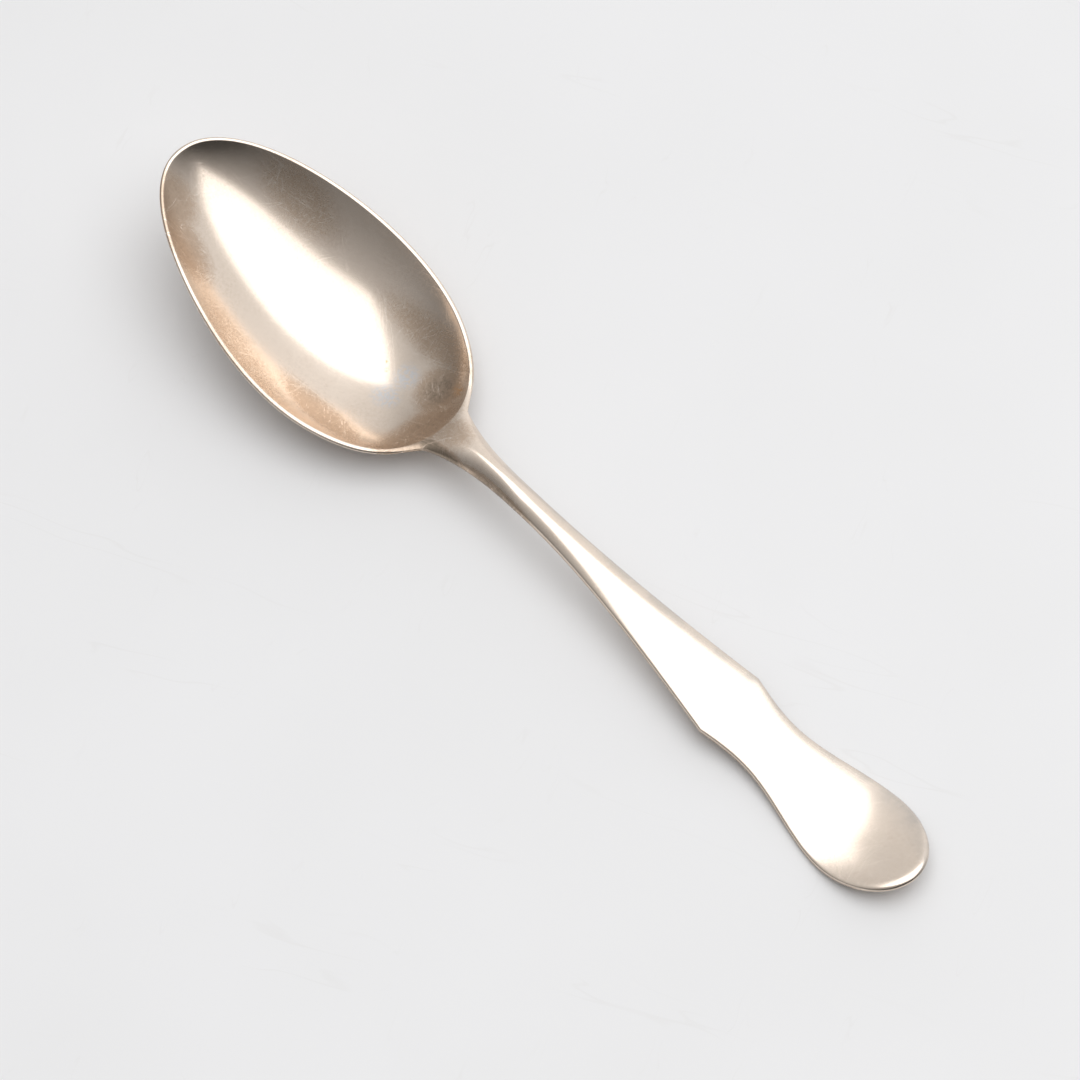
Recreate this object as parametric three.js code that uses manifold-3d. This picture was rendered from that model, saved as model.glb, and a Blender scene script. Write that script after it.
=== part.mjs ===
// Silver table spoon, lying bowl up: X runs from the bowl's tip to the handle's end, Z is up.
// The bowl is raised from sheet, the handle is forged, and a hard-soldered lap holds them together.
import * as THREE from 'three';
import { ParametricGeometry } from 'three/addons/geometries/ParametricGeometry.js';
import { mergeVertices } from 'three/addons/utils/BufferGeometryUtils.js';
import Module from 'manifold-3d';

const wasm = await Module();
wasm.setup();

// Driving dimensions, in millimetres
const bowlLength = 77.1; // inside, tip to heel
const bowlWidth = 42.4; // inside, across the middle of its length
const bowlDepth = 10.77; // inside, below the rim
const bowlFloor = 1.1; // wall under the deepest point
const rimWidth = 0.9; // flat edge of the bowl
const tipLift = 13.5; // rim at the tip, above its lowest stretch
const rimLowFromHeel = 6; // lowest stretch of the rim, measured back from the heel
const wearDepth = 0.2; // flat worn on the undersides that touch the table

const handleLength = 132; // heel of the bowl to the end
const archFromHeel = 25.2; // top of the arch, where the stem is narrowest
const shoulderFromHeel = 81; // pointed shoulders
const waistFromShoulder = 10.9;
const endRound = 14.9; // length of the rounded end, from the widest place
const restFromEnd = 20.3; // where the handle touches the table
const archHeight = 10.3; // top edge of the stem above the table
const shoulderHeight = 4.7; // top edge at the shoulders above the table
const endLift = 5.2; // the end turns up behind the rest
const stemWidth = 5.56;
const shoulderWidth = 16.15;
const waistWidth = 13.35;
const endWidth = 21.6;

const stemCrown = 1.35; // the stem is nearly half round on top
const handleCrown = 0.85;
const stemSide = 1.1;
const handleSide = 1.15;
const stemBelly = 0.85;
const handleBelly = 0.35;

const neckReach = 6; // how far the shoulders of the neck lap round the heel
const neckFromHeel = 1; // place of the neck width
const neckWidth = 11.7;
const neckRise = 9; // the crown has grown this far behind the heel
const neckCrown = 1.05;
const neckSide = 0.8;
const dropLength = 13; // tongue under the bowl, measured from the heel
const dropWidth = 10.5;
const dropThickness = 1.2;
const dropRun = 12; // behind the heel

const solderGap = 0.3; // between the bowl and its seat in the handle
const filmClearance = 0.05; // on either side of the solder

// Shape ratios
const eggSkew = 0.16; // fuller towards the heel
const eggPinch = 0.046;
const keelSkew = 0.18; // deepest towards the heel
const keelEnds = [0.24, -0.188, 0.32]; // fuller towards the tip and the heel
const sectionRoundness = 0.76; // 0 is a parabola, 1 a half circle
const tipSlope = -0.12;
const shoulderSlope = -0.12;
const shoulderFlare = 0.151;
const waistFlare = -0.207;
const lapFlare = -0.7;
const neckFlare = -0.38;
const endSlope = 0.42;
const stemPower = 2; // crown of the stem, a parabola
const handlePower = 2.5; // crown of the handle, flatter in the middle

// Mesh fineness
const bowlStations = 40;
const bowlSteps = 14;
const neckStations = 40; // neck to shoulders
const endStations = 26; // shoulders to end
const handleSteps = 10;
const dropStations = 24;
const weld = 1e-4;

// Places along X, from the middle of the bowl's length
const heelX = bowlLength / 2;
const rimLowX = heelX - rimLowFromHeel;
const neckX = heelX - neckReach;
const archX = heelX + archFromHeel;
const shoulderX = heelX + shoulderFromHeel;
const waistX = shoulderX + waistFromShoulder;
const endX = heelX + handleLength;
const roundX = endX - endRound;
const restX = endX - restFromEnd;
const tipX = -heelX - rimWidth;

// Smooth curve through stations of place, value and slope
function curve(stations) {
  return (x) => {
    let i = 0;
    while (i < stations.length - 2 && x > stations[i + 1][0]) i += 1;
    const [x0, v0, m0] = stations[i];
    const [x1, v1, m1] = stations[i + 1];
    const span = x1 - x0;
    const u = THREE.MathUtils.clamp((x - x0) / span, 0, 1);
    const rise = u * u * (3 - 2 * u);
    const start = u * (1 - u) * (1 - u) * span * m0;
    const finish = u * u * (u - 1) * span * m1;
    return v0 + (v1 - v0) * rise + start + finish;
  };
}

// Egg outline of the bowl: half width at a share s of the half length, -1 at the tip and 1 at the heel
const eggShape = (s) => Math.sqrt(Math.max(0, 1 - s * s)) * (1 + eggSkew * s - eggPinch * s ** 3);
const eggHalf = (s, grow) => (bowlWidth / 2 + grow) * eggShape(s);
const keelFullness = (s) => keelEnds[0] * s ** 2 + keelEnds[1] * s ** 3 + keelEnds[2] * s ** 4;
const keelShape = (s) => (1 - s * s) * (1 + keelSkew * s + keelFullness(s));
const sectionDepth = Math.sqrt(1 - sectionRoundness ** 2);
const sectionShape = (q) => (1 - Math.sqrt(1 - (sectionRoundness * q) ** 2)) / (1 - sectionDepth);

// Rim line in the side view, then set so that the worn underside rests at zero
const sheer = curve([[-heelX, tipLift, tipSlope], [rimLowX, 0, 0]]);
const outerDepth = bowlDepth + bowlFloor;
const keelStation = (i) => -1 + (2 * i) / bowlStations;
const keelLow = (s) => sheer(s * heelX) - outerDepth * keelShape(s);
let lowest = 0;
for (let i = 0; i <= bowlStations; i += 1) lowest = Math.min(lowest, keelLow(keelStation(i)));
const rimLow = -lowest - wearDepth;
const restTop = handleSide + handleBelly - wearDepth;

const edgeHeight = curve([
  [-heelX, rimLow + tipLift, tipSlope],
  [rimLowX, rimLow, 0],
  [archX, archHeight, 0],
  [shoulderX, shoulderHeight, shoulderSlope],
  [restX, restTop, 0],
  [endX, restTop + endLift, endSlope],
]);
const handleHalf = (x) => {
  const front = curve([
    [neckX, eggHalf(neckX / (heelX + rimWidth), rimWidth) + solderGap, lapFlare],
    [heelX + neckFromHeel, neckWidth / 2, neckFlare],
    [archX, stemWidth / 2, 0],
    [shoulderX, shoulderWidth / 2, shoulderFlare],
  ]);
  const back = curve([
    [shoulderX, shoulderWidth / 2, waistFlare],
    [waistX, waistWidth / 2, 0],
    [roundX, endWidth / 2, 0],
  ]);
  const round = Math.max(0, (x - roundX) / endRound);
  return (x < shoulderX ? front(x) : back(x)) * Math.sqrt(Math.max(0, 1 - round * round));
};
const crown = curve([
  [neckX, 0, 0],
  [heelX + neckRise, neckCrown, (stemCrown - neckCrown) / (archFromHeel - neckRise)],
  [archX, stemCrown, 0],
  [shoulderX, handleCrown, 0],
  [endX, handleCrown, 0],
]);
const side = curve([
  [neckX, neckSide, 0],
  [archX, stemSide, 0],
  [shoulderX, handleSide, 0],
  [endX, handleSide, 0],
]);
const belly = curve([
  [neckX, 0, 0],
  [archX, stemBelly, 0],
  [shoulderX, handleBelly, 0],
  [endX, handleBelly, 0],
]);

const crownPower = curve([[archX, stemPower, 0], [shoulderX, handlePower, 0]]);

// Top face of the rim and the handle: level across the bowl, crowned along the handle
function faceHeight(x, y) {
  const half = handleHalf(Math.max(x, neckX));
  const across = Math.abs(y) / Math.max(half, weld);
  const outwards = Math.hypot((x - roundX) / endRound, (2 * y) / endWidth);
  const share = Math.min(1, x < roundX ? across : outwards);
  return edgeHeight(x) + crown(x) * (1 - share ** crownPower(x));
}

// Point of a bowl surface at share s along and q across, grown outwards from the inside
function bowlPoint(s, q, grow, depth) {
  const x = s * (heelX + grow);
  const y = q * eggHalf(s, grow);
  const z = faceHeight(x, y) - depth * keelShape(s) * (1 - sectionShape(q));
  return new THREE.Vector3(x, y, z);
}

// Height of the grown bowl surface over a place on the plan
function bowlHeight(x, y, grow, depth) {
  const s = THREE.MathUtils.clamp(x / (heelX + grow), -1, 1);
  const q = THREE.MathUtils.clamp(y / Math.max(eggHalf(s, grow), weld), -1, 1);
  return bowlPoint(s, q, grow, depth).z;
}

// Closed skin from sections: ring(t, k) gives point k of the section at share t
function loft(stations, count, ring) {
  const onSkin = (u, v, target) => {
    const step = Math.round(u * count) % count;
    target.copy(ring(v, step));
  };
  const skin = new ParametricGeometry(onSkin, count, stations);
  skin.deleteAttribute('normal');
  skin.deleteAttribute('uv');
  const joined = mergeVertices(skin, weld);
  const corners = joined.getIndex().array;
  const kept = [];
  for (let i = 0; i < corners.length; i += 3) {
    const [a, b, c] = corners.slice(i, i + 3);
    if (a !== b && b !== c && c !== a) kept.push(a, b, c);
  }
  joined.setIndex(kept);
  return joined;
}

// Exchange between geometry and solids for the cuts
function solid(geometry) {
  const vertProperties = new Float32Array(geometry.getAttribute('position').array);
  const triVerts = new Uint32Array(geometry.getIndex().array);
  const shape = new wasm.Manifold(new wasm.Mesh({ numProp: 3, vertProperties, triVerts }));
  if (shape.volume() > 0) return shape;
  return new wasm.Manifold(new wasm.Mesh({ numProp: 3, vertProperties, triVerts: triVerts.reverse() }));
}

function skinOf(shape) {
  const mesh = shape.getMesh();
  const geometry = new THREE.BufferGeometry();
  geometry.setAttribute('position', new THREE.BufferAttribute(mesh.vertProperties, mesh.numProp));
  geometry.setIndex(new THREE.BufferAttribute(mesh.triVerts, 1));
  return geometry;
}

const along = (t) => -Math.cos(Math.PI * t); // stations close up towards both ends

// Dished shell with a flat edge and a worn underside
function bowlShell() {
  const count = 2 * (bowlSteps + 1);
  return loft(bowlStations, count, (t, k) => {
    const s = along(t);
    if (k <= bowlSteps) return bowlPoint(s, -1 + (2 * k) / bowlSteps, 0, bowlDepth);
    const q = 1 - (2 * (k - bowlSteps - 1)) / bowlSteps;
    const outside = bowlPoint(s, q, rimWidth, outerDepth);
    outside.z = Math.max(0, outside.z);
    return outside;
  });
}

// Block with the bowl's outside below and a lid above the handle, for cutting the seat
function seatBlock(gap) {
  const lid = archHeight;
  const count = 2 * (bowlSteps + 1);
  return loft(bowlStations, count, (t, k) => {
    const s = along(t);
    const above = k <= bowlSteps;
    const q = above ? -1 + (2 * k) / bowlSteps : 1 - (2 * (k - bowlSteps - 1)) / bowlSteps;
    const corner = bowlPoint(s, q, rimWidth + gap, outerDepth + gap);
    if (above) corner.z = faceHeight(corner.x, corner.y) + lid;
    return corner;
  });
}

// Stem, shoulders and end: crowned top, upright sides, rounded belly
function handleBlank() {
  const count = 2 * (handleSteps + 1);
  const total = neckStations + endStations;
  const stationX = (i) => {
    const toShoulder = (1 - Math.cos((Math.PI * i) / neckStations)) / 2;
    if (i <= neckStations) return neckX + (shoulderX - neckX) * toShoulder;
    return shoulderX + (endX - shoulderX) * Math.sin((Math.PI / 2) * ((i - neckStations) / endStations));
  };
  return loft(total, count, (t, k) => {
    const x = stationX(Math.round(t * total));
    if (t === 0) return new THREE.Vector3(x, 0, edgeHeight(x) - side(x) / 2);
    const above = k <= handleSteps;
    const q = above ? -1 + (2 * k) / handleSteps : 1 - (2 * (k - handleSteps - 1)) / handleSteps;
    const y = q * handleHalf(x);
    if (above) return new THREE.Vector3(x, y, faceHeight(x, y));
    const under = edgeHeight(x) - side(x) - belly(x) * (1 - q * q);
    return new THREE.Vector3(x, y, Math.max(0, under));
  });
}

// Tongue that laps under the bowl, from a rounded tip to where it has run into the stem
function dropBlank() {
  const frontX = heelX - dropLength;
  const backX = heelX + dropRun;
  const radius = dropWidth / 2;
  const count = 2 * (handleSteps + 1);
  const slopeOf = (line, x) => line(x + 0.5) - line(x - 0.5);
  const stemKeel = (x) => edgeHeight(x) - side(x) - belly(x);
  const bowlKeel = (x) => bowlHeight(x, 0, rimWidth, outerDepth);
  const width = curve([[frontX + radius, radius, 0], [backX, handleHalf(backX), 0]]);
  const behind = curve([
    [neckX, bowlKeel(neckX) - dropThickness, slopeOf(bowlKeel, neckX)],
    [backX, stemKeel(backX), slopeOf(stemKeel, backX)],
  ]);
  return loft(dropStations, count, (t, k) => {
    const x = frontX + (backX - frontX) * t;
    if (t === 1) return new THREE.Vector3(x, 0, edgeHeight(x) - side(x));
    const tip = Math.max(0, 1 - (x - frontX) / radius);
    const full = Math.sqrt(1 - tip * tip);
    const above = k <= handleSteps;
    const q = above ? -1 + (2 * k) / handleSteps : 1 - (2 * (k - handleSteps - 1)) / handleSteps;
    const half = width(x) * full;
    const lap = Math.min(x, neckX);
    const hug = bowlHeight(lap, half, rimWidth, outerDepth) - bowlKeel(lap);
    const lapped = x < neckX;
    const keel = lapped ? bowlKeel(x) - dropThickness * full : behind(x);
    const rise = dropThickness * full + hug;
    const top = lapped ? keel + rise + bowlFloor / 2 : edgeHeight(x) - side(x) / 2;
    return new THREE.Vector3(x, q * half, above ? top : keel + q * q * rise);
  });
}

const silver = new THREE.MeshStandardMaterial({ color: 0xcfc5ba, metalness: 1, roughness: 0.28 });
const solderSilver = new THREE.MeshStandardMaterial({ color: 0xbdb4a6, metalness: 1, roughness: 0.4 });

const forged = solid(handleBlank()).add(solid(dropBlank()));
const handleSkin = skinOf(forged.subtract(solid(seatBlock(solderGap))));
const filmOuter = solid(seatBlock(solderGap - filmClearance));
const filmInner = solid(seatBlock(filmClearance));
const filmSkin = skinOf(filmOuter.subtract(filmInner).intersect(forged));

function piece(name, geometry, material) {
  const mesh = new THREE.Mesh(geometry, material);
  mesh.name = name;
  return mesh;
}

const spoon = new THREE.Group();
spoon.add(piece('bowl', skinOf(solid(bowlShell())), silver));
spoon.add(piece('handle', handleSkin, silver));
spoon.add(piece('solder_seam', filmSkin, solderSilver));
spoon.position.x = -(tipX + endX) / 2;

export default spoon;
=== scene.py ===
import math

import bmesh
import bpy
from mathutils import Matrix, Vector


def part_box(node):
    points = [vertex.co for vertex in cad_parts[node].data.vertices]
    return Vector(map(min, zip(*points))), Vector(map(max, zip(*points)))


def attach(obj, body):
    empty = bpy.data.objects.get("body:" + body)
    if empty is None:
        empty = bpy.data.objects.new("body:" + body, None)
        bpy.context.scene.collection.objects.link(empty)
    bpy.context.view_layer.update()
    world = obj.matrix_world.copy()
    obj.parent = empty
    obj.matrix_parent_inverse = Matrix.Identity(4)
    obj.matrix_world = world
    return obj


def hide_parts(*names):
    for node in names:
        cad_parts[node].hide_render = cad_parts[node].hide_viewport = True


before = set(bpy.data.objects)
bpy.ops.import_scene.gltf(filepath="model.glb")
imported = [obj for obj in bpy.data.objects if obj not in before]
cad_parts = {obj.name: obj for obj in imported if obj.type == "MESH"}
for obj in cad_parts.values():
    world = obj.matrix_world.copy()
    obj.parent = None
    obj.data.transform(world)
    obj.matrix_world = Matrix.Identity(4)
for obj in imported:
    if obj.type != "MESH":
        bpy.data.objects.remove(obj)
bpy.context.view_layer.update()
bowlLow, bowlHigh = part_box("bowl")
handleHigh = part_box("handle")[1]
print("frame loaded")

mm = 0.001
tiny = 1e-6  # guards divisions and welds points that coincide
middleX = (bowlLow.x + bowlHigh.x) / 2  # shapes below are in mm, with x from the bowl's middle


# smooth line through stations of place, value and slope
def curve(stations):
    def line(x):
        i = 0
        while i < len(stations) - 2 and x > stations[i + 1][0]:
            i += 1
        x0, v0, m0 = stations[i]
        x1, v1, m1 = stations[i + 1]
        span = x1 - x0
        u = within((x - x0) / span, 0, 1)
        ends = u * (1 - u) ** 2 * span * m0 + u * u * (u - 1) * span * m1
        return v0 + (v1 - v0) * u * u * (3 - 2 * u) + ends
    return line


def within(value, low=-1, high=1):
    return max(low, min(high, value))


def ease(x, start, end):
    u = within((x - start) / (end - start), 0, 1)
    return u * u * (3 - 2 * u)


def inPlace(x, y, z):
    return Vector((x * mm + middleX, y * mm, z * mm))


bowl = dict(
    rim=0.9,  # flat edge
    width=42.4,  # inside, across the middle
    depth=10.77,  # inside
    floor=1.1,
    tipLift=13.5,
    tipSlope=-0.12,
    wear=0.2,  # flat worn underneath
    eggSkew=0.16,
    eggPinch=0.046,
    keelSkew=0.18,
    keelEnds=(0.24, -0.188, 0.32),  # fuller towards the tip and the heel
    roundness=0.76,
    neck=6,  # from the heel to where the neck leaves the edge
    tuck=0.06,  # dip of the edge below the neck that covers it
    tuckFrom=0.5,  # behind the place where the neck leaves the edge
    tuckTo=3,
    segments=240,
    rings=46,
    ringSpread=0.8,  # rings a little closer together towards the edge
    insideReach=0.99,  # share of the radius
    outsideReach=0.94,
    weld=1e-5,  # share of the radius within which spun points are one
)
heelX = (bowlHigh.x - bowlLow.x) / mm / 2 - bowl["rim"]
neckX = heelX - bowl["neck"]

handle = dict(
    neckBack=heelX + 9,  # end of the neck
    archX=heelX + 25.2,
    shoulderX=heelX + 81,
    waistX=heelX + 91.9,
    endX=(handleHigh.x - middleX) / mm,
    round=14.9,  # length of the rounded end
    rest=20.3,  # lowest place, from the end
    archHeight=10.3,
    shoulderHeight=4.7,
    shoulderSlope=-0.12,
    restHeight=1.3,
    endLift=5.2,
    endSlope=0.42,
    neckInset=0.02,  # inside the bowl's edge where the neck starts
    neckWidth=11.7,
    neckWidthX=heelX + 1,  # where that width is
    stemWidth=5.56,
    shoulderWidth=16.15,
    waistWidth=13.35,
    endWidth=21.6,
    neckFlare=-0.88,  # slopes of the outline
    heelFlare=-0.38,
    shoulderFlare=0.151,
    waistFlare=-0.207,
    neckCrown=2.05,
    ridgeX=heelX + 17,  # place of the highest crown
    ridgeCrown=2.2,
    stemCrown=1.45,
    crown=0.85,
    crownSlopes=(0.42, 0.1, -0.03, -0.02),  # at the heel, the neck's end, the ridge and the arch
    heelPower=4.5,  # how square the crown is across
    stemPower=2,
    facePower=2.5,
    squareX=heelX - 2,  # the crown is square up to here
    blendX=heelX + 12,  # and round from here on
    heelFall=1.2,  # the edge falls this much on both sides of the heel
    fallFrom=heelX - 18,
    fallTo=heelX - 4,
    fallBack=heelX + 2,
    fallWide=12,  # from the middle line
    neckSide=1.0,
    stemSide=1.1,
    side=1.15,
    stemBelly=0.85,
    belly=0.35,
    neckThin=0.55,  # share of the thickness at the front of the neck
    neckThirds=3,  # full thickness a third of the way along the neck
    lap=2.5,  # stretch in which the neck spreads over the bowl's edge
    edgeReach=(0.03, 0.4, 0.6, 1.5),  # width of the rounded edge at four places along the handle
    edgeDrop=(0.01, 0.1, 0.12, 0.55),
    tuck=0.2,  # last drop of a rounded edge
    tuckAbove=8,  # how late in the edge it comes
    tuckBelow=4,
    flatShare=0.8,  # share of the columns inside the rounded edges
    columns=60,
    neckRows=26,
    stemRows=64,
    flareRows=46,
    endRows=26,
)
neckBack, archX, shoulderX, waistX, endX = (
    handle[k] for k in ("neckBack", "archX", "shoulderX", "waistX", "endX"))
roundX = endX - handle["round"]
restX = endX - handle["rest"]
edgeStart = neckX + 1  # places where the rounded edge of the face changes
edgeFull = heelX + 4
edgeTurn = roundX + 5
edgeLast = endX - 2
edgePlaces = (edgeStart, edgeFull, edgeTurn, edgeLast)


def eggShape(s):
    return 1 + bowl["eggSkew"] * s - bowl["eggPinch"] * s ** 3


def eggHalf(s, grow):
    return (bowl["width"] / 2 + grow) * math.sqrt(max(0, 1 - s * s)) * eggShape(s)


def keelShape(s):
    full = sum(k * s ** (i + 2) for i, k in enumerate(bowl["keelEnds"]))
    return (1 - s * s) * (1 + bowl["keelSkew"] * s + full)


def sectionShape(q):
    full = 1 - math.sqrt(1 - bowl["roundness"] ** 2)
    return (1 - math.sqrt(1 - (bowl["roundness"] * q) ** 2)) / full


# the bowl's edge in the side view, set so that the worn underside lies on the table
sheer = curve([[-heelX, bowl["tipLift"], bowl["tipSlope"]], [neckX, 0, 0]])
outerDepth = bowl["depth"] + bowl["floor"]
trials = 20
trialPlaces = [i / trials for i in range(-trials, trials + 1)]
lowest = min(sheer(heelX * s) - outerDepth * keelShape(s) for s in trialPlaces)
rimLow = -lowest - bowl["wear"]
edgeHeight = curve([
    [-heelX, rimLow + bowl["tipLift"], bowl["tipSlope"]],
    [neckX, rimLow, 0],
    [archX, handle["archHeight"], 0],
    [shoulderX, handle["shoulderHeight"], handle["shoulderSlope"]],
    [restX, handle["restHeight"], 0],
    [endX, handle["restHeight"] + handle["endLift"], handle["endSlope"]],
])
frontHalf = curve([
    [neckX, eggHalf(neckX / (heelX + bowl["rim"]), bowl["rim"]) - handle["neckInset"], handle["neckFlare"]],
    [handle["neckWidthX"], handle["neckWidth"] / 2, handle["heelFlare"]],
    [archX, handle["stemWidth"] / 2, 0],
    [shoulderX, handle["shoulderWidth"] / 2, handle["shoulderFlare"]],
])
backHalf = curve([
    [shoulderX, handle["shoulderWidth"] / 2, handle["waistFlare"]],
    [waistX, handle["waistWidth"] / 2, 0],
    [roundX, handle["endWidth"] / 2, 0],
])
heelSlope, neckSlope, ridgeSlope, archSlope = handle["crownSlopes"]
crownHeight = curve([
    [heelX, 0, heelSlope],
    [neckBack, handle["neckCrown"], neckSlope],
    [handle["ridgeX"], handle["ridgeCrown"], ridgeSlope],
    [archX, handle["stemCrown"], archSlope],
    [shoulderX, handle["crown"], 0],
    [endX, handle["crown"], 0],
])
crownPower = curve([
    [handle["squareX"], handle["heelPower"], 0],
    [handle["blendX"], handle["stemPower"], 0],
    [archX, handle["stemPower"], 0],
    [shoulderX, handle["facePower"], 0],
])
sideHeight = curve([
    [neckX, handle["neckSide"], 0],
    [archX, handle["stemSide"], 0],
    [shoulderX, handle["side"], 0],
    [endX, handle["side"], 0],
])
bellyDepth = curve([
    [neckX, 0, 0],
    [archX, handle["stemBelly"], 0],
    [shoulderX, handle["belly"], 0],
    [endX, handle["belly"], 0],
])
edgeReach = curve([[x, reach, 0] for x, reach in zip(edgePlaces, handle["edgeReach"])])
edgeDrop = curve([[x, drop, 0] for x, drop in zip(edgePlaces, handle["edgeDrop"])])


def handleHalf(x):
    past = max(0, (x - roundX) / handle["round"])
    half = frontHalf(x) if x < shoulderX else backHalf(x)
    return half * math.sqrt(max(0, 1 - past * past))


# the edge falls a little on both sides of the heel
def heelFall(x, y):
    along = ease(x, handle["fallFrom"], handle["fallTo"]) * (1 - ease(x, handle["fallBack"], archX))
    return handle["heelFall"] * along * ease(abs(y), 0, handle["fallWide"])


# place of the heel's inner edge beside the middle line, found by halving
def creaseX(y, halvings=24):
    low, high = neckX / heelX, 1
    for halving in range(halvings):
        middle = (low + high) / 2
        if eggHalf(middle, 0) > abs(y):
            low = middle
        else:
            high = middle
    return low * heelX


# the crown starts along the heel's inner edge, and further back it follows x
def faceHeight(x, y):
    share = abs(y) / max(handleHalf(max(x, neckX)), tiny)
    if x > roundX:
        share = math.hypot((x - roundX) / handle["round"], 2 * y / handle["endWidth"])
    along = x
    if neckX < x < archX:
        along = x + (heelX - creaseX(y)) * (1 - ease(x, heelX, handle["blendX"]))
    return edgeHeight(x) + crownHeight(along) * (1 - min(1, share) ** crownPower(x)) - heelFall(x, y)


# a and b are the place on a unit disc
def bowlPoint(a, b, grow, depth):
    s = within(a)
    across = math.sqrt(max(0, 1 - s * s))
    q = within(b / across) if across > tiny else 0
    x = s * (heelX + grow)
    y = q * eggHalf(s, grow)
    z = faceHeight(x, y) - depth * keelShape(s) * (1 - sectionShape(q))
    return x, y, max(0, z)


finish = dict(
    sharpAngle=40,  # degrees
    stripX=archX - 10,  # the painted shade strip along the handle's edge starts here
    leastHalf=0.1,
)


# two values on the mesh for the material: place across the handle, and 0 on level to 1 on upright faces; both
# steer painted shade
def markSurface(mesh):
    for name in ("across", "steep"):
        mesh.attributes.new(name, "FLOAT", "POINT")
    across, steep = (mesh.attributes[k].data for k in ("across", "steep"))
    for i, v in enumerate(mesh.vertices):
        x = (v.co.x - middleX) / mm
        onHandle = finish["stripX"] < x < endX
        across[i].value = v.co.y / mm / max(handleHalf(x), finish["leastHalf"]) if onHandle else 0
        steep[i].value = 1 - abs(v.normal.z)


def keep(bm, name, node, material):
    bmesh.ops.recalc_face_normals(bm, faces=bm.faces)
    mesh = bpy.data.meshes.new(name)
    bm.to_mesh(mesh)
    bm.free()
    mesh.shade_smooth()
    mesh.set_sharp_from_angle(angle=math.radians(finish["sharpAngle"]))
    mesh.materials.append(material)
    markSurface(mesh)
    piece = bpy.data.objects.new(name, mesh)
    bpy.context.scene.collection.objects.link(piece)
    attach(piece, "root")
    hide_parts(node)
    print(name, len(mesh.polygons), "faces")
    return piece


scratchLook = dict(
    width=0.02,
    bend=(1, 1, 0.4),  # noise that the lines follow: scale, detail and roughness
    patch=(0.45, 1, 0.5),  # noise that picks where they show
    fade=0.12,
)


# a socket that can be added, multiplied and so on
class Wire:
    def __init__(self, tree, socket=None):
        self.tree = tree
        self.socket = socket

    def make(self, kind, settings=None, inputs=None, output=0):
        node = self.tree.nodes.new(kind)
        for name, value in (settings or {}).items():
            setattr(node, name, value)
        for name, value in (inputs or {}).items():
            if isinstance(value, Wire):
                self.tree.links.new(value.socket, node.inputs[name])
            else:
                node.inputs[name].default_value = value
        return Wire(self.tree, node.outputs[output])

    def sum(self, operation, a, b=0.0):
        return self.make("ShaderNodeMath", {"operation": operation}, {0: a, 1: b})

    def __add__(self, other):
        return self.sum("ADD", self, other)

    def __radd__(self, other):
        return self.sum("ADD", other, self)

    def __sub__(self, other):
        return self.sum("SUBTRACT", self, other)

    def __rsub__(self, other):
        return self.sum("SUBTRACT", other, self)

    def __mul__(self, other):
        return self.sum("MULTIPLY", self, other)

    def __rmul__(self, other):
        return self.sum("MULTIPLY", other, self)

    def step(self, low, high):  # 0 below low, 1 above high
        return self.make("ShaderNodeMapRange", {"interpolation_type": "SMOOTHSTEP"},
                         {"Value": self, "From Min": low, "From Max": high})

    def swing(self):  # noise on both sides of zero
        return self - 0.5

    def noise(self, scale, detail, roughness):
        return self.make("ShaderNodeTexNoise", {}, {
            "Vector": self, "Scale": float(scale), "Detail": float(detail), "Roughness": roughness})

    def near(self, middle, reach, core=0.25):  # 1 in the core of a place, 0 beyond its reach
        away = self.make("ShaderNodeVectorMath", {"operation": "SUBTRACT"}, {0: self, 1: middle})
        share = self.make("ShaderNodeVectorMath", {"operation": "DIVIDE"}, {0: away, 1: reach})
        far = self.make("ShaderNodeVectorMath", {"operation": "LENGTH"}, {0: share}, output="Value")
        return 1 - far.step(core, 1)

    def scratches(self, turn, length, gap, start, out):  # thin lines, sizes in mm
        flow = self.make("ShaderNodeMapping", {"vector_type": "TEXTURE"}, {
            "Vector": self, "Location": start, "Rotation": (0, 0, math.radians(turn)),
            "Scale": (length * mm, gap * mm, length * mm)})
        bend = self.sum("ABSOLUTE", flow.noise(*scratchLook["bend"]).swing())
        line = 1 - bend.step(0, scratchLook["width"])
        return line * flow.noise(*scratchLook["patch"]).step(out, out + scratchLook["fade"])

    def mix(self, a, b):  # self chooses between two colours
        return self.make("ShaderNodeMix", {"data_type": "RGBA"}, {0: self, 6: a, 7: b}, output=2)

    def feed(self, shader, name):
        self.tree.links.new(self.socket, shader.inputs[name])


def newMaterial(name):
    material = bpy.data.materials.new(name)
    material.use_nodes = True
    tree = material.node_tree
    shader = tree.nodes["Principled BSDF"]
    return material, shader, Wire(tree)


silverLook = dict(
    bright=(0.81, 0.70, 0.60, 1),
    # duller colour, for tarnish and for painted dark reflection
    dullAndShade=(0.56, 0.435, 0.335, 1),
    # darkest colour, mostly painted dark reflection on the neck's and stem's flanks
    dark=(0.30, 0.24, 0.185, 1),
    # orange of real stains and of a painted reflection beside the heel
    stainAndReflection=(0.70, 0.44, 0.24, 1),
    haze=(0.70, 0.71, 0.74, 1),
    # grey of the painted shade strip along the handle's edge
    stripShade=(0.56, 0.52, 0.48, 1),
    cloud=(110, 5, 0.6),  # noises: scale, detail and roughness
    mottle=(1500, 4, 0.65),
    grain=(4500, 2, 0.5),
    stainAndReflectionMost=0.9,
    hazeMost=0.8,
    spotEdge=(0.35, 0.6),  # the mottle breaks up the stains and the haze
)
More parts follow.
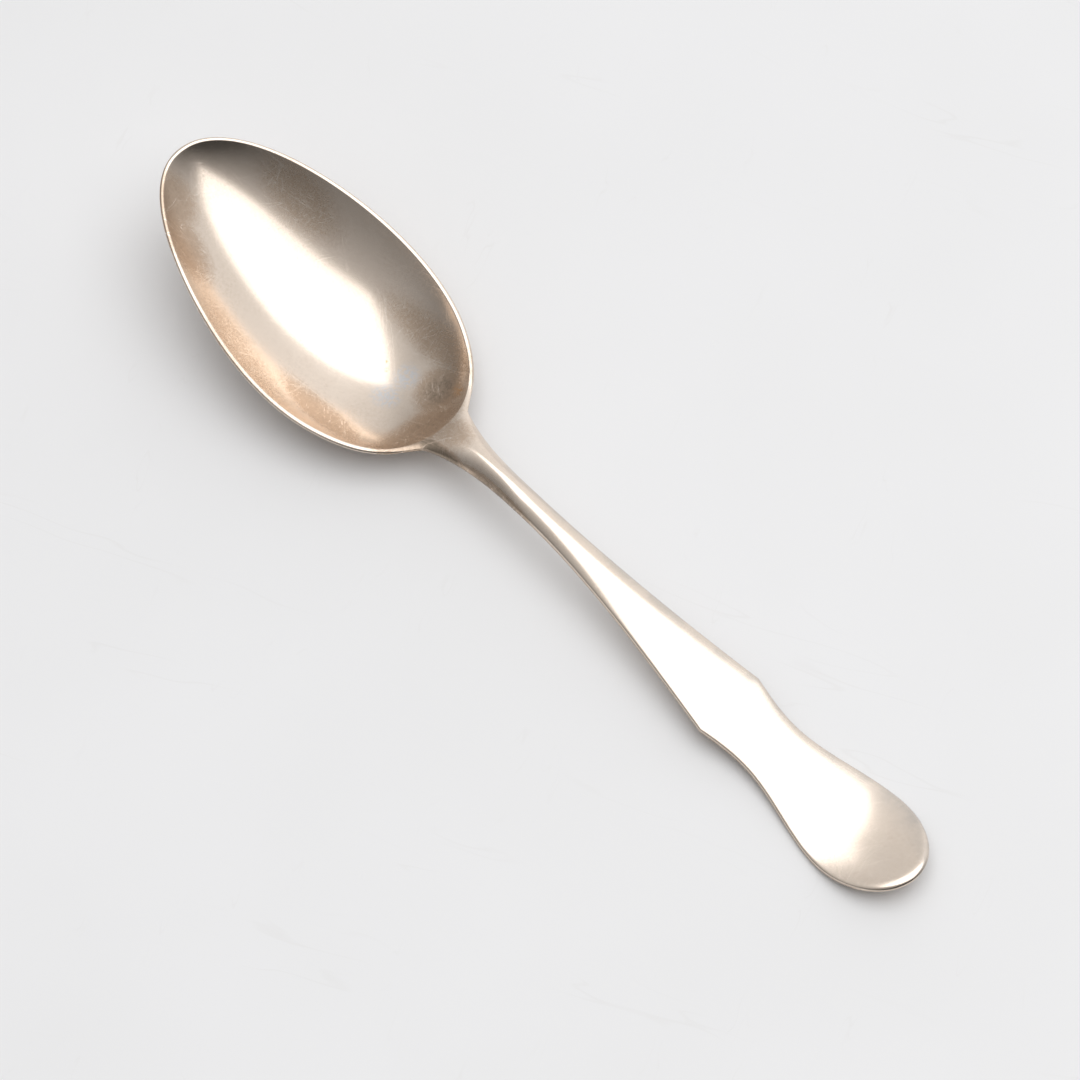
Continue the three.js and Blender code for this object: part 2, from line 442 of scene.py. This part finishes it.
# amounts of tarnish and of painted shade: painted shade darkens upright faces and the places listed below,
# with real tarnish laid over
tarnishAndShade = dict(
    overall=0.14,
    cloudy=0.5,
    sides=0.8,  # painted shade on upright faces, standing for the table's shadow they reflect
    steepEdge=(0.45, 0.95),
    mottle=1.5,
    grain=0.8,
    spots=0.3,  # spots everywhere
    dullSpots=0.65,  # and more where it is dull
    scratch=0.2,  # scratches take some of it off
    dullScratch=0.6,
    dullEdge=(0, 1),
    darkEdge=(0.9, 2),
)
stripShade = dict(  # painted shade: a grey strip along one edge of the handle, standing for the darker reflection there
    acrossEdge=(0.3, 1),
    least=0.4,
    cloudy=0.4,
    cloudEdge=(0.42, 0.62),
)
gloss = dict(roughness=0.19, dullAndShade=0.12, grain=0.12, scratch=0.05)
relief = dict(strength=0.32, depth=0.008, mottle=0.25, grain=0.12, scratch=0.7)

# places of tarnish and of painted shade in mm: middle, reach and strength; the darkening of the walls, the
# heel, the neck's flanks and the stem stands partly for the dark reflections there and partly for real
# tarnish
tarnishAndShadePlaces = [
    ((-36, 6.5, 5), (8, 8, 7), 1.4),  # right of the heel
    ((-45, 13, 7), (22, 6, 9), 0.85),  # right wall
    ((-84, 13, 14), (20, 8, 14), 0.7),
    ((-101, 0, 18), (8, 22, 14), 0.2),  # tip
    ((-98, -8, 20), (11, 8, 9), 1.0),
    ((-90, -12, 18), (20, 7, 9), 1.0),
    ((-31, -4, 7.5), (9, 16, 7), 1.2),  # left of the heel
    ((-48, -14, 6), (17, 6, 6), 1.0),  # left wall
    ((-68, -19, 12), (32, 8, 10), 0.65),
    ((-24, 0, 10), (8, 6, 4), 0.8),  # neck
    ((-22, -5, 9), (11, 3.6, 3), 2.1),
    ((-8, -3, 9.5), (14, 1.9, 3), 1.8),  # stem
]
# small real stains on the bowl's floor, and the last place a painted orange reflection beside the heel's
# right rim
stainAndReflectionPlaces = [
    ((-47.9, 3.4, 1), (0.8, 0.8, 1)),
    ((-49.2, 4.6, 1), (0.6, 0.5, 1)),
    # painted orange reflection beside the heel's right rim
    ((-33, 8.5, 7), (3.5, 2, 2)),
]
hazePlaces = [
    ((-43.5, 5, 2), (4, 4, 3)),
    ((-43.5, -0.8, 1.6), (5, 4, 2)),
]

# scratches: direction in degrees, length and spacing in mm, start of the pattern, level below which none show
scratchSets = [
    (12, 14, 0.9, (0.3, 0.1, 0), 0.51),
    (58, 8, 0.8, (1.7, 0.4, 0), 0.52),
    (-38, 7, 0.7, (2.9, 1.3, 0), 0.52),
    (-74, 9, 0.8, (4.1, 2.2, 0), 0.55),
    (96, 6, 0.7, (5.3, 3.8, 0), 0.55),
]


def inMetres(values):
    return tuple(v * mm for v in values)


def silverMaterial():
    material, shader, wire = newMaterial("wornSilverPaintedShade")
    place = wire.make("ShaderNodeTexCoord", output="Object")
    cloud, mottle, grain = (place.noise(*silverLook[k]) for k in ("cloud", "mottle", "grain"))
    across = wire.make("ShaderNodeAttribute", {"attribute_name": "across"}, output="Fac")
    steep = wire.make("ShaderNodeAttribute", {"attribute_name": "steep"}, output="Fac")

    # painted shade on upright faces, with cloudy tarnish everywhere
    dullAndShade = wire.sum("MAXIMUM", steep.step(*tarnishAndShade["steepEdge"]) * tarnishAndShade["sides"],
                    tarnishAndShade["overall"] + cloud.swing() * tarnishAndShade["cloudy"])
    # darker places, partly real tarnish and partly painted dark reflection
    for middle, reach, strength in tarnishAndShadePlaces:
        dullAndShade = wire.sum("MAXIMUM", dullAndShade, place.near(inMetres(middle), inMetres(reach)) * strength)
    lines = place.scratches(*scratchSets[0])
    for one in scratchSets[1:]:
        lines = wire.sum("MAXIMUM", lines, place.scratches(*one))
    spots = mottle.swing() * tarnishAndShade["mottle"] + grain.swing() * tarnishAndShade["grain"]
    amount = dullAndShade + spots * (tarnishAndShade["spots"] + dullAndShade * tarnishAndShade["dullSpots"])
    amount = amount - lines * (tarnishAndShade["scratch"] + dullAndShade * tarnishAndShade["dullScratch"])

    dulledAndShaded = amount.step(*tarnishAndShade["dullEdge"])
    colour = dulledAndShaded.mix(silverLook["bright"], silverLook["dullAndShade"])
    # darkest where the painted dark reflection of the neck's and stem's flanks is strongest
    colour = amount.step(*tarnishAndShade["darkEdge"]).mix(colour, silverLook["dark"])
    # painted shade: a grey strip along the handle's far edge, standing for its darker reflection
    cloudy = stripShade["least"] + cloud.step(*stripShade["cloudEdge"]) * stripShade["cloudy"]
    shadeStrip = across.step(*stripShade["acrossEdge"]) * cloudy
    colour = shadeStrip.mix(colour, silverLook["stripShade"])
    for places, tint, most in ((stainAndReflectionPlaces, "stainAndReflection", "stainAndReflectionMost"), (hazePlaces, "haze", "hazeMost")):
        for middle, reach in places:
            broken = mottle.step(*silverLook["spotEdge"]) * silverLook[most]
            spot = place.near(inMetres(middle), inMetres(reach)) * broken
            colour = spot.mix(colour, silverLook[tint])
    colour.feed(shader, "Base Color")

    rough = gloss["roughness"] + dulledAndShaded * gloss["dullAndShade"] + lines * gloss["scratch"]
    rough = rough + grain.swing() * gloss["grain"]
    rough.feed(shader, "Roughness")
    height = mottle.swing() * relief["mottle"] + grain.swing() * relief["grain"] - lines * relief["scratch"]
    bump = wire.make("ShaderNodeBump", {}, {
        "Strength": relief["strength"], "Distance": relief["depth"] * mm, "Height": height})
    bump.feed(shader, "Normal")
    shader.inputs["Metallic"].default_value = 1.0
    return material


solderLook = dict(
    light=(0.72, 0.65, 0.56, 1),
    dark=(0.52, 0.44, 0.36, 1),
    cloud=(400, 4, 0.5),
    cloudEdge=(0.4, 0.7),
    roughness=0.36,
    cloudRoughness=0.14,
)


def solderMaterial():
    material, shader, wire = newMaterial("hardSolder")
    place = wire.make("ShaderNodeTexCoord", output="Object")
    cloud = place.noise(*solderLook["cloud"])
    colour = cloud.step(*solderLook["cloudEdge"]).mix(solderLook["light"], solderLook["dark"])
    colour.feed(shader, "Base Color")
    rough = solderLook["roughness"] + cloud * solderLook["cloudRoughness"]
    rough.feed(shader, "Roughness")
    shader.inputs["Metallic"].default_value = 1.0
    return material


silver = silverMaterial()
solder = solderMaterial()
print("materials ready")


# rings of the bowl's edge: radius, share of the way outside, drop
edgeRings = [
    (0.9955, 0, 0), (0.998, 0, 0.01), (1, 0, 0.05), (1, 0.12, 0.012), (1, 0.22, 0), (1, 0.42, 0.004),
    (1, 0.58, 0.03), (1, 0.72, 0.085), (1, 0.84, 0.17), (1, 0.93, 0.28), (1, 0.98, 0.4), (1, 1, 0.5),
    (0.985, 1, 0.25), (0.96, 1, 0.08),
]


# profile from the middle of the inside over the edge to the middle of the outside, spun into a disc
def makeBowl():
    bm = bmesh.new()
    rings = bowl["rings"]
    spread = [(i / rings) ** bowl["ringSpread"] for i in range(rings + 1)]
    inside = [(bowl["insideReach"] * r, 0, 0) for r in spread]
    outside = [(bowl["outsideReach"] * r, 1, 0) for r in reversed(spread)]
    profile = inside + edgeRings + outside
    spokes = [bm.verts.new((r, 0, -i)) for i, (r, share, drop) in enumerate(profile)]
    line = [bm.edges.new(pair) for pair in zip(spokes, spokes[1:])]
    bmesh.ops.spin(bm, geom=spokes + line, cent=(0, 0, 0), axis=(0, 0, 1), angle=2 * math.pi,
                   steps=bowl["segments"], use_merge=True)
    bmesh.ops.remove_doubles(bm, verts=bm.verts, dist=bowl["weld"])
    for v in bm.verts:
        radius, share, drop = profile[round(-v.co.z)]
        x, y, z = bowlPoint(v.co.x, v.co.y, bowl["rim"] * share, bowl["depth"] + bowl["floor"] * share)
        if radius > bowl["insideReach"]:
            drop += bowl["tuck"] * ease(x, neckX + bowl["tuckFrom"], neckX + bowl["tuckTo"])
        v.co = inPlace(x, y, max(0, z - drop))
    return keep(bm, "spoonBowl", "bowl", silver)


# rows along the handle: kind, and x or the share of that stretch
def handleRows():
    rows = [("neck", i / handle["neckRows"]) for i in range(handle["neckRows"])]
    stem = handle["stemRows"]
    rows += [("plain", neckBack + (shoulderX - neckBack) * i / stem) for i in range(stem)]
    flare = handle["flareRows"]
    rows += [("plain", shoulderX + (roundX - shoulderX) * i / flare) for i in range(flare)]
    rows += [("end", i / handle["endRows"]) for i in range(handle["endRows"] + 1)]
    return rows


# share of the half width for a column, and how far it lies in the rounded edge
def edged(raw, half, reach):
    flat = 1 - reach / half
    if raw <= handle["flatShare"]:
        return raw / handle["flatShare"] * flat, 0
    u = math.sin((raw - handle["flatShare"]) / (1 - handle["flatShare"]) * math.pi / 2)
    return flat + (1 - flat) * u, u


# plan of the neck, which starts along the inner edge of the bowl's heel
def neckPlan(t, v):
    reach = math.acos(neckX / heelX)
    s = math.cos(v * reach)
    front = math.copysign(eggHalf(s, 0), v)
    corner = eggHalf(neckX / heelX, 0)
    sideX = neckX + t * (neckBack - neckX)
    lap = ease(sideX, neckX, neckX + handle["lap"])
    inner = eggHalf(min(1, sideX / heelX), 0)
    sideY = inner + (frontHalf(sideX) - inner) * lap
    straight = (1 - t) * corner + t * frontHalf(neckBack)
    x = (1 - t) * s * heelX + t * neckBack
    y = (1 - t) * front + t * v * frontHalf(neckBack) + v * (sideY - straight)
    return x, y


# x and y at row and place across, how far into the rounded edge, and x of that edge
def handlePlan(row, v):
    kind, t = row
    if kind == "end":
        a, b = t * math.sqrt(1 - v * v / 2), v * math.sqrt(1 - t * t / 2)
        raw = max(tiny, math.hypot(a, b))
        a, b = a / raw * handle["round"], b / raw * handle["endWidth"] / 2
        share, u = edged(raw, max(tiny, math.hypot(a, b)), edgeReach(roundX + a))
        return roundX + a * share, b * share, u, roundX + a
    edgeX = neckX + t * (neckBack - neckX) if kind == "neck" else t
    share, u = edged(abs(v), handleHalf(edgeX), edgeReach(edgeX))
    share = math.copysign(share, v)
    if kind == "neck":
        return *neckPlan(t, share), u, edgeX
    return edgeX, share * handleHalf(edgeX), u, edgeX


# closed body between an upper and a lower sheet, each given by row and place across from -1 to 1
def addShell(bm, rows, columns, upper, lower):
    for place in (upper, lower):
        made = bmesh.ops.create_grid(bm, x_segments=rows, y_segments=columns, size=1)
        for v in made["verts"]:
            v.co = place(round((v.co.x + 1) / 2 * rows), v.co.y)
    bmesh.ops.bridge_loops(bm, edges=[e for e in bm.edges if e.is_boundary])


def makeHandle():
    bm = bmesh.new()
    rows = handleRows()

    def tuck(edgeX):
        return handle["tuck"] * ease(edgeX, neckX, edgeFull)

    def top(i, v):
        x, y, u, edgeX = handlePlan(rows[i], v)
        drop = edgeDrop(edgeX) * u * u + tuck(edgeX) * u ** handle["tuckAbove"]
        return inPlace(x, y, faceHeight(x, y) - drop)

    def under(i, v):
        kind, t = rows[i]
        x, y, u, edgeX = handlePlan(rows[i], v)
        thin = handle["neckThin"] if kind == "neck" else 1
        thin += (1 - thin) * min(1, handle["neckThirds"] * t)
        share = min(1, abs(y) / handleHalf(min(x, roundX)))
        thickness = (sideHeight(x) + bellyDepth(x) * (1 - share * share)) * thin
        z = edgeHeight(x) - heelFall(x, y) - thickness + tuck(edgeX) * u ** handle["tuckBelow"]
        return inPlace(x, y, max(0, z))

    addShell(bm, len(rows) - 1, handle["columns"], top, under)
    addTongue(bm)
    return keep(bm, "spoonHandle", "handle", silver)


tongue = dict(
    length=13,  # before the heel
    width=10.5,
    thickness=1.2,
    run=12,  # behind the heel, until it has become the stem
    sink=0.25,  # into the bowl's wall
    least=0.02,
    rows=60,
    columns=28,
    rowSpread=1.4,  # rows closer together at the round front
)
tongueBack = heelX + tongue["run"]


def bowlUnder(x, y):
    s = within(x / (heelX + bowl["rim"]))
    q = within(y / max(eggHalf(s, bowl["rim"]), tiny))
    return bowlPoint(s, q * math.sqrt(max(0, 1 - s * s)), bowl["rim"], outerDepth)[2]


def bowlKeel(x):
    return bowlUnder(x, 0)


def stemKeel(x):
    return edgeHeight(x) - sideHeight(x) - bellyDepth(x)


def slope(line, x):  # over one millimetre
    return line(x + 0.5) - line(x - 0.5)


# lowest line of the tongue behind the bowl, where it runs into the stem
tongueKeel = curve([
    [neckX, bowlKeel(neckX) - tongue["thickness"], slope(bowlKeel, neckX)],
    [tongueBack, stemKeel(tongueBack), slope(stemKeel, tongueBack)],
])


# outline of the tongue, grown all round: its front, half its width, and how far its round front is open
def tongueOutline(grow):
    frontX = heelX - tongue["length"] - grow
    radius = tongue["width"] / 2 + grow
    width = curve([[frontX + radius, radius, 0], [tongueBack, handleHalf(tongueBack), 0]])

    def opening(x):
        tip = max(0, 1 - (x - frontX) / radius)
        return math.sqrt(max(0, 1 - tip * tip))

    return frontX, width, opening


def addTongue(bm):
    frontX, width, opening = tongueOutline(0)
    rows = tongue["rows"]

    def section(i, q, above):
        x = frontX + (tongueBack - frontX) * (i / rows) ** tongue["rowSpread"]
        half = width(x) * opening(x)
        y = q * half
        thickness = tongue["thickness"] * opening(x)
        lapX = min(x, neckX)
        hug = bowlUnder(lapX, half) - bowlKeel(lapX)
        keel = bowlKeel(x) - thickness if x < neckX else tongueKeel(x)
        low = keel + q * q * (thickness + hug)
        inWall = bowlUnder(x, y) + tongue["sink"]
        inStem = edgeHeight(x) - heelFall(x, y) - sideHeight(x) / 2
        high = max(min(inWall, inStem), low + tongue["least"])
        return inPlace(x, y, high if above else low)

    addShell(bm, rows, tongue["columns"], lambda i, q: section(i, q, True), lambda i, q: section(i, q, False))
    bmesh.ops.remove_doubles(bm, verts=bm.verts, dist=tiny)


seam = dict(
    spread=0.45,  # round the tongue
    thickness=0.28,
    run=1,  # behind the place where the neck leaves the edge
    close=1.4,  # its end closes in by this much, to lie inside the tongue
    fadeFrom=5,  # it thins out before that place
    fadeTo=2,
    sink=0.3,  # into the bowl's wall
    rows=60,
    columns=30,
)


# fillet of solder that shows round the tongue
def makeSeam():
    bm = bmesh.new()
    frontX, width, opening = tongueOutline(seam["spread"])
    lastX = neckX + seam["run"]
    fadeX = neckX - seam["fadeFrom"]
    rows = seam["rows"]

    def section(i, q, above):
        x = frontX + (lastX - frontX) * (i / rows) ** tongue["rowSpread"]
        half = width(x) * opening(x) - seam["close"] * ease(x, fadeX, lastX)
        y = q * half
        base = bowlUnder(min(x, neckX), y)
        fade = 1 - ease(x, fadeX, neckX - seam["fadeTo"])
        drop = seam["thickness"] * opening(x) * (1 - q ** 4) * fade
        return inPlace(x, y, base + seam["sink"] if above else base - drop)

    addShell(bm, rows, seam["columns"], lambda i, q: section(i, q, True), lambda i, q: section(i, q, False))
    bmesh.ops.remove_doubles(bm, verts=bm.verts, dist=tiny)
    return keep(bm, "solderFillet", "solder_seam", solder)


makeBowl()
makeHandle()
makeSeam()

table = dict(
    size=4.0,  # metres, from the middle to each side
    below=0.02,  # mm
    colour=(0.855, 0.855, 0.862, 1),
    shade=(0.84, 0.84, 0.845, 1),
    mark=(0.70, 0.68, 0.66, 1),
    markMost=0.14,
    cloud=(14, 3, 0.5),
    cloudEdge=(0.3, 0.7),
    longMarks=(25, 30, 5, (0.6, 0.2, 0), 0.6),  # as the sets of scratches
    shortMarks=(-65, 12, 3, (1.4, 0.7, 0), 0.62),
    roughness=0.6,
)


def makeTable():
    bm = bmesh.new()
    bmesh.ops.create_grid(bm, x_segments=2, y_segments=2, size=table["size"])
    mesh = bpy.data.meshes.new("table")
    bm.to_mesh(mesh)
    bm.free()
    material, shader, wire = newMaterial("paleTable")
    place = wire.make("ShaderNodeTexCoord", output="Object")
    cloud = place.noise(*table["cloud"])
    colour = cloud.step(*table["cloudEdge"]).mix(table["colour"], table["shade"])
    marks = wire.sum("MAXIMUM", place.scratches(*table["longMarks"]), place.scratches(*table["shortMarks"]))
    colour = (marks * table["markMost"]).mix(colour, table["mark"])
    colour.feed(shader, "Base Color")
    shader.inputs["Roughness"].default_value = table["roughness"]
    mesh.materials.append(material)
    floor = bpy.data.objects.new("table", mesh)
    floor.location.z = -table["below"] * mm
    bpy.context.scene.collection.objects.link(floor)
    print("table ready")


makeTable()

studio = dict(
    boxSize=(1.776, 1.54),  # metres
    boxPlace=(0.186, 0.333, 1.3),
    boxTurn=39.7,  # degrees
    boxPower=10.5,  # watts
    colour=(1, 0.998, 0.998, 1),
    level=0.868,  # surroundings, brighter towards the back
    toRight=-0.211,
    toBack=0.364,
    sideFall=-0.861,
    cornerFall=-0.111,
    backFall=-0.261,
    least=0.05,
)


def makeStudio():
    lamp = bpy.data.lights.new("softbox", "AREA")
    lamp.shape = "RECTANGLE"
    lamp.size, lamp.size_y = studio["boxSize"]
    lamp.energy = studio["boxPower"]
    box = bpy.data.objects.new("softbox", lamp)
    box.location = studio["boxPlace"]
    box.rotation_euler.z = math.radians(studio["boxTurn"])
    bpy.context.scene.collection.objects.link(box)
    world = bpy.data.worlds.new("studio")
    world.use_nodes = True
    bpy.context.scene.world = world
    wire = Wire(world.node_tree)
    way = wire.make("ShaderNodeTexCoord", output="Generated")
    x = wire.make("ShaderNodeSeparateXYZ", {}, {0: way}, output="X")
    y = wire.make("ShaderNodeSeparateXYZ", {}, {0: way}, output="Y")
    level = studio["level"] + studio["toRight"] * x + studio["toBack"] * y
    fall = studio["sideFall"] * x * x + studio["cornerFall"] * x * y + studio["backFall"] * y * y
    back = world.node_tree.nodes["Background"]
    back.inputs["Color"].default_value = studio["colour"]
    wire.sum("MAXIMUM", level + fall, studio["least"]).feed(back, "Strength")
    print("studio ready")


makeStudio()

camera = dict(
    azimuth=46.476,  # degrees
    elevation=63.0,
    distance=987.2,  # mm
    target=(-0.73, 0, 8.1),
    right=0.9615,  # the aim, beside the target
    up=-5.0227,
    lens=166.667,
    sensor=36,
    clipStart=0.01,  # metres
)


def makeCamera():
    turn, tilt = math.radians(camera["azimuth"]), math.radians(camera["elevation"])
    back = Vector((math.sin(turn) * math.cos(tilt), -math.cos(turn) * math.cos(tilt), math.sin(tilt)))
    right = Vector((math.cos(turn), math.sin(turn), 0))
    up = back.cross(right)
    target = Vector(camera["target"])
    place = target + back * camera["distance"]
    aim = target + right * camera["right"] + up * camera["up"]
    lens = bpy.data.cameras.new("camera")
    lens.lens = camera["lens"]
    lens.sensor_width = camera["sensor"]
    lens.clip_start = camera["clipStart"]
    eye = bpy.data.objects.new("camera", lens)
    eye.location = place * mm
    eye.rotation_euler = (place - aim).to_track_quat("Z", "Y").to_euler()
    bpy.context.scene.collection.objects.link(eye)
    bpy.context.scene.camera = eye
    print("camera ready")


makeCamera()
bpy.context.scene.view_settings.view_transform = "Standard"
